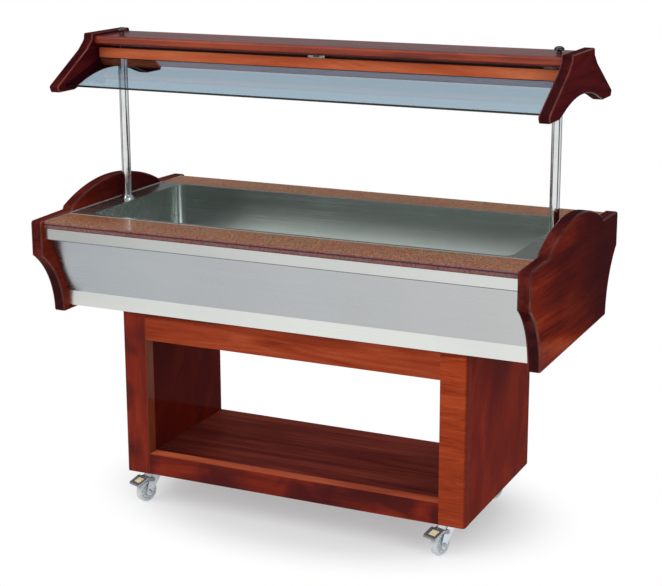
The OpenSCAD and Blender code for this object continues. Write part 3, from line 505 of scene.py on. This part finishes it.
def add(name, shape, mat, body, smooth=True, angle=35):
    """A new piece that rides on a body; edges sharper than angle stay sharp."""
    verts, faces = shape
    mesh = bpy.data.meshes.new(name)
    mesh.from_pydata(verts, [], faces)
    bm = bmesh.new()
    bm.from_mesh(mesh)
    bmesh.ops.remove_doubles(bm, verts=bm.verts, dist=1e-7)
    bmesh.ops.recalc_face_normals(bm, faces=bm.faces)
    bm.to_mesh(mesh)
    bm.free()
    mesh.materials.append(MATERIALS[mat])
    o = bpy.data.objects.new(name, mesh)
    bpy.context.scene.collection.objects.link(o)
    if smooth:
        mesh.polygons.foreach_set("use_smooth", [True] * len(mesh.polygons))
        mesh.set_sharp_from_angle(angle=math.radians(angle))
    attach(o, body)
    return o


def metres(profile):
    return [(r / 1000, h / 1000) for r, h in profile]


def move(x, y, z):
    return Matrix.Translation((x, y, z))


def spin(degrees, axis):
    return Matrix.Rotation(math.radians(degrees), 4, axis)


def turned(profile, place, n=40, close=False):
    """A profile of (radius, height) points turned round place's Z axis."""
    verts, faces, rows = [], [], []
    for r, h in profile:
        if r < 1e-7:
            rows.append([len(verts)])
            verts.append(place @ Vector((0, 0, h)))
        else:
            rows.append(list(range(len(verts), len(verts) + n)))
            angles = [2 * math.pi * i / n for i in range(n)]
            verts += [place @ Vector((r * math.cos(a), r * math.sin(a), h)) for a in angles]
    pairs = list(zip(rows, rows[1:]))
    if close:
        pairs.append((rows[-1], rows[0]))
    for a, b in pairs:
        for i in range(n):
            j = (i + 1) % n
            if len(a) == 1 and len(b) == 1:
                continue
            if len(a) == 1:
                faces.append((a[0], b[j], b[i]))
            elif len(b) == 1:
                faces.append((a[i], a[j], b[0]))
            else:
                faces.append((a[i], a[j], b[j], b[i]))
    return verts, faces


def extruded(outline, place, depth):
    """A closed outline in place's XY plane, pushed along its Z."""
    n = len(outline)
    verts = [place @ Vector((x, y, z)) for z in (0, depth) for x, y in outline]
    faces = [tuple(range(n))[::-1], tuple(range(n, 2 * n))]
    faces += [(i, (i + 1) % n, n + (i + 1) % n, n + i) for i in range(n)]
    return verts, faces


def bar(x0, x1, y, place, depth):
    """A box from x0 to x1 and y to either side, pushed along place's Z."""
    return extruded([(x0, -y), (x1, -y), (x1, y), (x0, y)], place, depth)


def strip(section, x):
    """A section of (y, z) points drawn from -x to x."""
    axes = Matrix(((0, 0, 1, 0), (1, 0, 0, 0), (0, 1, 0, 0), (0, 0, 0, 1)))
    return extruded(section, move(-x, 0, 0) @ axes, 2 * x)


def strips(sections, x):
    """Sections drawn along X, at the front and mirrored at the rear."""
    return joined([strip([(s * y, z) for y, z in section], x)
                   for s in (-1, 1) for section in sections])


def joined(shapes):
    verts, faces = [], []
    for v, f in shapes:
        k = len(verts)
        verts += v
        faces += [tuple(i + k for i in face) for face in f]
    return verts, faces


def facing_front(x, y, z):
    """A frame at a point with its Z towards the front and its X along the counter."""
    m = Matrix(((1, 0, 0), (0, 0, -1), (0, 1, 0))).to_4x4()
    m.translation = (x, y, z)
    return m


def hex_head(place, r, h):
    """A hexagon head with a chamfered crown, on place's Z."""
    corners = [(r * math.cos(math.pi / 3 * i), r * math.sin(math.pi / 3 * i)) for i in range(6)]
    rings = ((1, 0), (1, h * 0.78), (0.84, h))
    verts = [place @ Vector((x * part, y * part, z)) for part, z in rings for x, y in corners]
    faces = [tuple(range(6))[::-1], tuple(range(12, 18))]
    for k in (0, 6):
        faces += [(k + i, k + (i + 1) % 6, k + 6 + (i + 1) % 6, k + 6 + i) for i in range(6)]
    return verts, faces


# ---- Knobs -----------------------------------------------------------------

# Radius and height over the top board, in mm
KNOB = [(0, 18.9), (3.0, 18.85), (4.3, 18.8), (4.7, 18.4), (5.1, 18.3), (5.5, 18.55), (6.6, 18.3),
        (8.4, 17.6), (10.4, 16.3), (12.2, 14.6), (13.4, 12.6), (13.9, 10.8), (13.8, 9.4),
        (13.1, 8.4), (11.6, 7.8), (9.4, 7.4), (7.6, 6.9), (6.8, 6.1), (6.5, 5.0), (6.6, 3.7),
        (7.1, 2.5), (8.0, 1.6), (8.5, 1.1), (8.5, 0.0), (5.05, 0.0), (5.05, 15.5), (0, 15.5)]
for side, s in SIDES:
    seat = move(s * POST_X, 0, BOARD_TOP + 0.0003)
    o = add(f"knob_{side}_turned", turned(metres(KNOB), seat, 56), "knob", "knob_" + side)
    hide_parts("knob_" + side)


# ---- Castors ---------------------------------------------------------------

# Profiles of (radius, distance along the axis), in mm
TYRE = [(25.5, -10.6), (26.4, -11.0), (28.6, -11.0), (29.6, -10.6), (30.6, -9.5), (31.4, -8.4),
        (32.0, -7.4), (32.3, -6.2), (32.45, -4.0), (32.5, 0.0)]
TYRE += [(r, -h) for r, h in TYRE[-2::-1]]
CORE = [(4.1, -12.0), (8.6, -12.0), (10.0, -11.4), (10.0, -4.6), (11.0, -3.6), (22.0, -3.0),
        (23.3, -4.2), (23.6, -8.0), (24.0, -8.6), (25.2, -8.6), (25.6, -8.2)]
CORE += [(r, -h) for r, h in CORE[::-1]]
SPOKES = 10
SPOKE_T = 0.0012
SPOKE = [(9.5, 2.8), (23.6, 2.8), (23.6, 6.8), (17.0, 7.2), (9.5, 8.6)]
WASHER = [(4.1, 0), (7.6, 0), (7.9, 0.3), (7.9, 1.0), (7.4, 1.4), (4.1, 1.4)]
RACE_LIP = [(19.6, 0), (19.6, 1.6), (20.1, 2.2), (20.8, 2.2), (21.4, 1.4), (21.6, 0)]
RIVET = [(0, -1.9), (2.2, -1.8), (4.2, -1.3), (5.4, -0.4), (5.6, 0.2)]
BALLS = 24
BALL_RING_R = 0.0186
BALL = [(0, -1.35), (0.9, -1.0), (1.35, 0), (0.9, 1.0), (0, 1.35)]
RIVET_DROP = 0.0057      # from the fork's head down to the kingpin's end
BALL_RISE = 0.0014       # from the head's top up to the middle of the balls
FORK_HALF = 0.0221       # half the width over the fork's arms
HUB_HALF = 0.0121
HEX_R, HEX_H = 0.0052, 0.0036
SCREW_COLLAR = [(0, 0), (6.2, 0), (6.6, 0.3), (6.6, 0.9), (6.2, 1.2), (0, 1.2)]
# the thread's rounded end on one side of the fork, the head's crown on the other
BOLT_END = {-1: [(0, 1.2), (2.4, 1.0), (3.5, 0.2), (3.6, -1)],
            1: [(0, 0.6), (4.5, 0.6), (5.2, 0.2), (5.4, -1)]}


def castor_place(key, s=0.0, t=0.0, z=0.0):
    """A frame in the castor's own frame, where X trails and Z is up."""
    x, y = CASTORS[key]
    return move(x, y, 0) @ Matrix.Rotation(CASTOR_TURN, 4, "Z") @ move(s, t, z)


def wheel(key):
    """Core with spokes on both faces, tyre, and a washer on each side of the hub."""
    place = castor_place(key, TRAIL, 0, AXLE_Z) @ spin(90, "X")
    name = "castor_wheel_" + key
    parts = [turned(metres(CORE), place, 64, close=True)]
    for side in (-1, 1):
        for i in range(SPOKES):
            spoke = place @ spin(360 / SPOKES * i, "Z") @ spin(90, "X") @ move(0, 0, -SPOKE_T / 2)
            parts.append(extruded([(r, side * h) for r, h in metres(SPOKE)], spoke, SPOKE_T))
    core = add(name + "_core", joined(parts), "core", name, angle=30)
    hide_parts(name)
    add(name + "_tyre", turned(metres(TYRE), place, 96, close=True), "tyre", name)
    for n, side in enumerate((-1, 1)):
        out = place @ move(0, 0, side * HUB_HALF) @ spin(0 if side > 0 else 180, "X")
        add(f"{name}_washer_{n}", turned(metres(WASHER), out, 32, close=True), "steel_screw",
            "castor_fork_" + key)


def swivel_head(key):
    """Lip and balls of the race, kingpin's rivet, plate screws and the axle bolt's ends."""
    fork = "castor_fork_" + key
    place = castor_place(key)
    top = HEAD_Z + HEAD_T
    lip = turned(metres(RACE_LIP), place @ move(0, 0, top), 56, close=True)
    add("race_lip_" + key, lip, "zinc", fork)
    rivet = turned(metres(RIVET), place @ move(0, 0, HEAD_Z - RIVET_DROP), 32)
    add("kingpin_rivet_" + key, rivet, "steel_screw", "cabinet")
    ring = []
    for i in range(BALLS):
        a = 2 * math.pi * i / BALLS
        at = move(BALL_RING_R * math.cos(a), BALL_RING_R * math.sin(a), top + BALL_RISE)
        ring.append(turned(metres(BALL), place @ at, 8))
    add("race_balls_" + key, joined(ring), "steel_screw", fork)
    screws = []
    x, y = CASTORS[key]
    for i in (-1, 1):
        for j in (-1, 1):
            at = move(x + i * PLATE_HOLE[0], y + j * PLATE_HOLE[1], PLATE_Z) @ spin(180, "X")
            screws.append(turned(metres(SCREW_COLLAR), at, 28))
            stopped = Matrix.Rotation(i + 2.3 * j, 4, "Z")     # each head ends at another turn
            screws.append(hex_head(at @ move(0, 0, 0.0011) @ stopped, HEX_R, HEX_H))
    add("plate_screws_" + key, joined(screws), "steel_screw", "cabinet", angle=25)
    ends = [turned(metres(BOLT_END[side]),
                   place @ move(TRAIL, side * FORK_HALF, AXLE_Z) @ spin(-90 * side, "X"), 24)
            for side in (-1, 1)]
    add("axle_ends_" + key, joined(ends), "steel_screw", fork)


PEDAL_PAD = (0.0105, 0.0115)       # half length and half width
PEDAL_PLACE = (0.0600, 0.0, 0.0719)
PEDAL_SLOPE = math.atan2(0.012, 0.032)
PEDAL_RIBS = [-0.0080 + 0.0040 * k for k in range(5)]
RIB_W, RIB_HALF, RIB_T = 0.0007, 0.0100, 0.0007
PEDAL_LIP = [(0.0400, 0.0768), (0.0460, 0.0770), (0.0780, 0.0650), (0.0797, 0.0602),
             (0.0800, 0.0625), (0.0786, 0.0668), (0.0464, 0.0790), (0.0400, 0.0788)]
PEDAL_LIP_T = 0.0014
PEDAL_LIP_Y = 0.0222


def pedal(side):
    """Tread plate with anti-slip ribs, and the pedal's turned-up side lips."""
    key = "front_" + side
    body = "brake_pedal_" + side
    pad = castor_place(key, *PEDAL_PLACE) @ Matrix.Rotation(PEDAL_SLOPE, 4, "Y")
    length, width = PEDAL_PAD
    parts = [bar(-length, length, width, pad @ move(0, 0, 0.0001), RIB_T)]
    parts += [bar(x - RIB_W, x + RIB_W, RIB_HALF, pad @ move(0, 0, RIB_T), RIB_T)
              for x in PEDAL_RIBS]
    add("pedal_pad_" + side, joined(parts), "gilt", body, smooth=False)
    rims = [castor_place(key, 0, t * PEDAL_LIP_Y - PEDAL_LIP_T / 2, 0) @ spin(90, "X")
            @ move(0, 0, -PEDAL_LIP_T) for t in (-1, 1)]
    add("pedal_lips_" + side, joined([extruded(PEDAL_LIP, rim, PEDAL_LIP_T) for rim in rims]),
        "zinc", body, smooth=False)


for key in CASTORS:
    wheel(key)
    swivel_head(key)
for side, _ in SIDES:
    pedal(side)


# ---- Cheeks and canopy brackets: the CAD outlines, with finer curves -------

def arc(cx, cy, r, a0, a1, n):
    """Outline points (y, z, corner radius) along an arc, in mm and degrees."""
    angles = (math.radians(a0 + (a1 - a0) * i / n) for i in range(n + 1))
    return [(cx + r * math.cos(a), cy + r * math.sin(a), 0) for a in angles]


def corner(p, q, s, r, n=14):
    """Points of the radius r that rounds the corner q between p and s."""
    u, v = (p - q).normalized(), (s - q).normalized()
    half_angle = math.acos(u.dot(v)) / 2
    a, b = q + u * (r / math.tan(half_angle)), q + v * (r / math.tan(half_angle))
    c = q + (u + v).normalized() * (r / math.sin(half_angle))
    return [c + ((a - c) * (n - i) + (b - c) * i).normalized() * r for i in range(n + 1)]


def rounded(points):
    n = len(points)
    flat = [Vector((p[0], p[1])) for p in points]
    out = []
    for i in range(n):
        r = points[i][2]
        out += corner(flat[i - 1], flat[i], flat[(i + 1) % n], r) if r else [flat[i]]
    return out


def shaped_plate(half_outline, t, r, x, steps=7):
    """A plate across X from the right half of its outline, its edges rounded over."""
    points = rounded(half_outline + [(-y, z, c) for y, z, c in half_outline[::-1]])
    n = len(points)
    normals = []
    for i in range(n):
        a = (points[i] - points[i - 1]).normalized()
        b = (points[(i + 1) % n] - points[i]).normalized()
        m = (a + b).normalized()
        normals.append(Vector((-m.y, m.x)) / max(0.5, a.dot(m)))
    # rim: (distance from the plate's middle, distance inside the outline); its first point
    # is a narrow flat ring that keeps the faces' shading level
    turns = [math.pi / 2 * k / steps for k in range(steps + 1)]
    rim = [(t / 2, r + 0.6)]
    rim += [(t / 2 - r * (1 - math.cos(a)), r * (1 - math.sin(a))) for a in turns]
    rings = [(-h, d) for h, d in rim] + rim[::-1]
    verts = [Vector(((x + h) / 1000, *((points[i] - normals[i] * d) / 1000)))
             for h, d in rings for i in range(n)]
    faces = [(k * n + i, k * n + (i + 1) % n, (k + 1) * n + (i + 1) % n, (k + 1) * n + i)
             for k in range(len(rings) - 1) for i in range(n)]
    faces += [tuple(range(n)), tuple(range((len(rings) - 1) * n, len(rings) * n))]
    return verts, faces


CHEEK_HALF = arc(0, 374.06, 563.94, 89, 90 - 25.75, 28)
CHEEK_HALF += [(250, 872, 2), (409, 868, 9)]
CHEEK_HALF += arc(311 + 231.25, 577, 231.25, 180 - 54.81, 177, 24)
CHEEK_HALF += [(311, 577, 7)]
BRACKET_HALF = [(102, 1376, 5), (105, 1358, 12), (134, 1332, 40), (291, 1240, 7), (283, 1222, 6),
                (203, 1222, 14), (164, 1234, 16)]
BRACKET_HALF += arc(0, 1262 - 500.6, 500.6, 90 - 17.43, 89, 20)


def wooden_end(name, shape, mat):
    """A shaped plate with darker tones on the edge, painted shade, and lighter, glossier tones on
    the round-over, painted highlight.
    """
    o = add(name + "_shaped", shape, mat, "cabinet", angle=50)
    o.data.materials.append(MATERIALS[mat + "_edge"])
    o.data.materials.append(MATERIALS["arris_highlight"])
    # faces across X take the wood; the edge faces its darker copy, painted shade; the round-over
    # its lighter copy, painted highlight
    for face in o.data.polygons:
        tilt = abs(face.normal.x)
        face.material_index = 0 if tilt > 0.97 else 1 if tilt < 0.1 else 2
    o.modifiers.new("normals", "WEIGHTED_NORMAL").keep_sharp = True
    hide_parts(name)


for side, s in SIDES:
    wooden_end("cheek_" + side, shaped_plate(CHEEK_HALF, 37, 5, s * 731.5), "cheek")
    wooden_end("canopy_bracket_" + side, shaped_plate(BRACKET_HALF, 32, 4, s * 733), "bracket")


# ---- Canopy ----------------------------------------------------------------

def ribbed_diffuser(teeth=32, half=0.0487, top=1.3118, groove=1.3046, tip=1.3040):
    section = [(half, top), (-half, top)]
    for k in range(teeth):
        y0 = -half + 2 * half * k / teeth
        y1 = -half + 2 * half * (k + 1) / teeth
        section += [(y0, groove), ((y0 + y1) / 2, tip)]
    section.append((half, groove))
    return strip(section, 0.6507)


o = add("diffuser_ribbed", ribbed_diffuser(), "opal", "cabinet", smooth=False)
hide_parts("lamp_diffuser")


def seal_section(y0, y1, face, heights):
    """A seal between y0 and y1, on the pane's face at the given drop from its upper one."""
    ends = (y0, y1, y1, y0)
    return [(y, RAIL_Z + (RAIL_Y - y) * math.tan(GLASS_SLOPE) - face + h)
            for y, h in zip(ends, heights)]


# black seals where the glass leaves the rails' grooves, over and under the pane
add("glass_seals", strips([seal_section(0.0705, 0.0725, 0.0, (0.0002, 0.0002, 0.0009, 0.0012)),
                           seal_section(0.0613, 0.0633, GLASS_DROP, (0, 0, -0.0008, -0.0014))],
                          CANOPY_X), "seal", "cabinet", smooth=False)

# bead under the top board's nosing
half_round = [math.pi * k / 12 for k in range(13)]
add("nosing_bead", strips([[(0.0845 + 0.0035 * math.cos(a), 1.3462 - 0.0052 * math.sin(a))
                            for a in half_round]], CANOPY_X), "board", "cabinet")

# screws of the switch plate
SCREW_CROWN = [(0, 0.6), (1.2, 0.5), (1.9, 0.2), (2.1, -0.1)]
add("switch_screws", joined([turned(metres(SCREW_CROWN), facing_front(x, -0.0711, 1.3385), 20)
                             for x in (-0.021, 0.021)]), "steel_screw", "cabinet")


# ---- Counter ---------------------------------------------------------------

def bead(a, b, u, v, r, n=6):
    """A coved bead of sealant from a to b, in the corner between u and v."""
    a, b, u, v = (Vector(q) for q in (a, b, u, v))
    turns = [math.pi / 2 * i / n for i in range(n + 1)]
    ring = [u * (r * (1 - math.sin(t))) + v * (r * (1 - math.cos(t))) for t in turns]
    ring.append(Vector((0, 0, 0)))
    m = len(ring)
    verts = [q + c for q in (a, b) for c in ring]
    faces = [(i, (i + 1) % m, m + (i + 1) % m, m + i) for i in range(m)]
    faces += [tuple(range(m))[::-1], tuple(range(m, 2 * m))]
    return verts, faces


def sealant_beads():
    """Sealant between deck and stones, deck and cheeks, stones and cheeks."""
    up = (0, 0, 1)
    parts = []
    for s in (-1, 1):
        parts.append(bead((-INNER_X, s * DECK_Y, STONE_TOP), (INNER_X, s * DECK_Y, STONE_TOP),
                          (0, s, 0), up, 0.0012))
        x = s * INNER_X
        inward = (-s, 0, 0)
        parts.append(bead((x, -DECK_Y, DECK_TOP), (x, DECK_Y, DECK_TOP), inward, up, 0.0022))
        for t in (-1, 1):
            parts.append(bead((x, t * DECK_Y, STONE_TOP), (x, t * STONE_END_Y, STONE_TOP), inward,
                              up, 0.0016))
    return joined(parts)


add("sealant", sealant_beads(), "sealant", "cabinet")

# joints along the top of the sloping panels, grey to stand for the shade under the upper band's
# overhang: a joint with painted shade
PANEL_JOINT = [(0.3712, 0.8138), (0.3728, 0.8138), (0.3689, 0.8056), (0.3675, 0.8056)]
add("panel_joints_shade_line", strips([PANEL_JOINT], INNER_X), "joint", "cabinet", smooth=False)

# strainer in the well's drain: a flat ring with three crossing bars
STRAINER = [(16.5, 0), (26.2, 0), (26.6, 0.5), (25.8, 1.2), (16.5, 1.2)]
disc = move(0, 0, 0.6971)
add("drain_strainer", joined([turned(metres(STRAINER), disc, 48, close=True)]
                             + [bar(-0.0170, 0.0170, 0.0012, disc @ spin(60 * k, "Z"), 0.0012)
                                for k in range(3)]), "plate", "cabinet")

# nut on the drain lever's stem and the ribs of the lever's grip
add("lever_nut", hex_head(facing_front(0, -0.0345, LEVER_Z), 0.0066, 0.0024), "steel_screw",
    "drain_lever", angle=25)
grip = facing_front(0, -0.0343, LEVER_Z)
add("lever_ribs", joined([bar(x, x + 0.0022, 0.0050, grip, 0.0007)
                          for x in (0.024 + 0.0055 * k for k in range(6))]),
    "lever", "drain_lever", smooth=False)


# ---- Camera and light ------------------------------------------------------

SENSOR = 36.0
FOCAL_PX = 1590.33       # focal length in pixels of the photo
PHOTO_W = 662
AZIMUTH, DOWN, ROLL = 24.98, 13.68, -0.17

scene = bpy.context.scene
scene.view_settings.view_transform = "Standard"
cam_data = bpy.data.cameras.new("camera")
cam = bpy.data.objects.new("camera", cam_data)
scene.collection.objects.link(cam)
scene.camera = cam
cam_data.sensor_width = SENSOR
cam_data.lens = SENSOR * FOCAL_PX / PHOTO_W
cam_data.shift_y = -0.0498
cam_data.clip_end = 100
cam.location = (1.9149, -4.0878, 1.8345)
cam.rotation_mode = "XYZ"
look = spin(AZIMUTH, "Z") @ spin(90 - DOWN, "X") @ spin(ROLL, "Z")
cam.rotation_euler = look.to_euler("XYZ")


def lamp(name, at, to, size, power, colour=(1, 1, 1)):
    data = bpy.data.lights.new(name, "AREA")
    data.shape = "RECTANGLE"
    data.size, data.size_y = size
    data.energy = power
    data.color = colour
    o = bpy.data.objects.new(name, data)
    o.location = at
    o.rotation_euler = (Vector(to) - Vector(at)).to_track_quat("-Z", "Y").to_euler()
    scene.collection.objects.link(o)


lamp("key", (-2.6, -3.4, 3.6), (0, 0, 0.7), (4.4, 3.0), 95, (1.0, 0.985, 0.96))
lamp("fill", (3.6, -2.2, 2.0), (0.2, 0, 0.7), (1.8, 2.2), 40, (0.96, 0.98, 1.0))
lamp("top", (0.0, 0.4, 4.2), (0, 0, 0.8), (5.0, 4.0), 68)

# Brightness of the surroundings in gloss, by bearing in degrees from +X: white in front
# between two dark flags, greyer behind
SURROUND = [(-180, 0.5), (-158, 0.9), (-146, 0.08), (-133, 0.08), (-127, 1.0), (-34, 1.0),
            (-26, 0.06), (-9, 0.06), (-1, 0.9), (30, 0.8), (58, 0.25), (165, 0.25), (180, 0.5)]


def studio_world():
    """White where it is seen, soft light from above, and the surroundings in gloss."""
    scene.world = bpy.data.worlds.new("studio")
    g = Graph(scene.world, "Background", Color=(1, 1, 1, 1))
    ray = g.node("LightPath").outputs
    x, y, z = g.node("SeparateXYZ", {0: g.coords["Generated"]}).outputs
    stops = [((bearing + 180) / 360, (value, value, value, 1)) for bearing, value in SURROUND]
    ring = g.ramp(g.level(g.math("ARCTAN2", y, x), -math.pi, math.pi), stops)
    gloss = g.math("MULTIPLY", ring, g.level(z, 0.08, 0.55, 1.0, 0.22))
    soft = g.level(z, -0.2, 0.2, 0.40, 0.66)
    lit = g.node("Mix", {"Factor": ray["Is Glossy Ray"], "A": soft, "B": gloss},
                 data_type="FLOAT").outputs["Result"]
    seen = g.math("MAXIMUM", ray["Is Camera Ray"], ray["Is Transmission Ray"])
    g.feed(Strength=g.node("Mix", {"Factor": seen, "A": lit, "B": 1.0},
                           data_type="FLOAT").outputs["Result"])


def stage_floor(radius=2.3, sides=96):
    """A pale floor that keeps the shadow and fades into the white background."""
    mesh = bpy.data.meshes.new("floor")
    angles = [2 * math.pi * i / sides for i in range(sides)]
    mesh.from_pydata([(radius * math.cos(a), radius * math.sin(a), 0) for a in angles], [],
                     [tuple(range(sides))])
    o = bpy.data.objects.new("floor", mesh)
    scene.collection.objects.link(o)
    g = material("floor", Base_Color=(0.78, 0.8, 0.82, 1), Roughness=0.9, Specular_IOR_Level=0.1)
    ray = g.node("LightPath").outputs
    seen = g.math("MAXIMUM", ray["Is Camera Ray"], ray["Is Transmission Ray"])
    seen = g.math("MAXIMUM", seen, ray["Is Glossy Ray"])
    oval = g.node("VectorMath", {0: g.here, 1: (1.0, 1.45, 0.0)}, operation="MULTIPLY")
    far = g.node("VectorMath", {0: oval.outputs[0]}, operation="LENGTH").outputs["Value"]
    fade = g.node("MapRange", {"Value": far, "From Min": 0.46, "From Max": 0.80, "To Min": 0.40},
                  interpolation_type="SMOOTHSTEP").outputs["Result"]
    white = g.node("Emission", {"Strength": 1.0}).outputs[0]
    both = g.node("MixShader", {0: g.math("MULTIPLY", seen, fade), 1: g.shader.outputs[0],
                                2: white}).outputs[0]
    g.tree.links.new(both, g.tree.nodes["Material Output"].inputs["Surface"])
    mesh.materials.append(g.owner)


studio_world()
stage_floor()
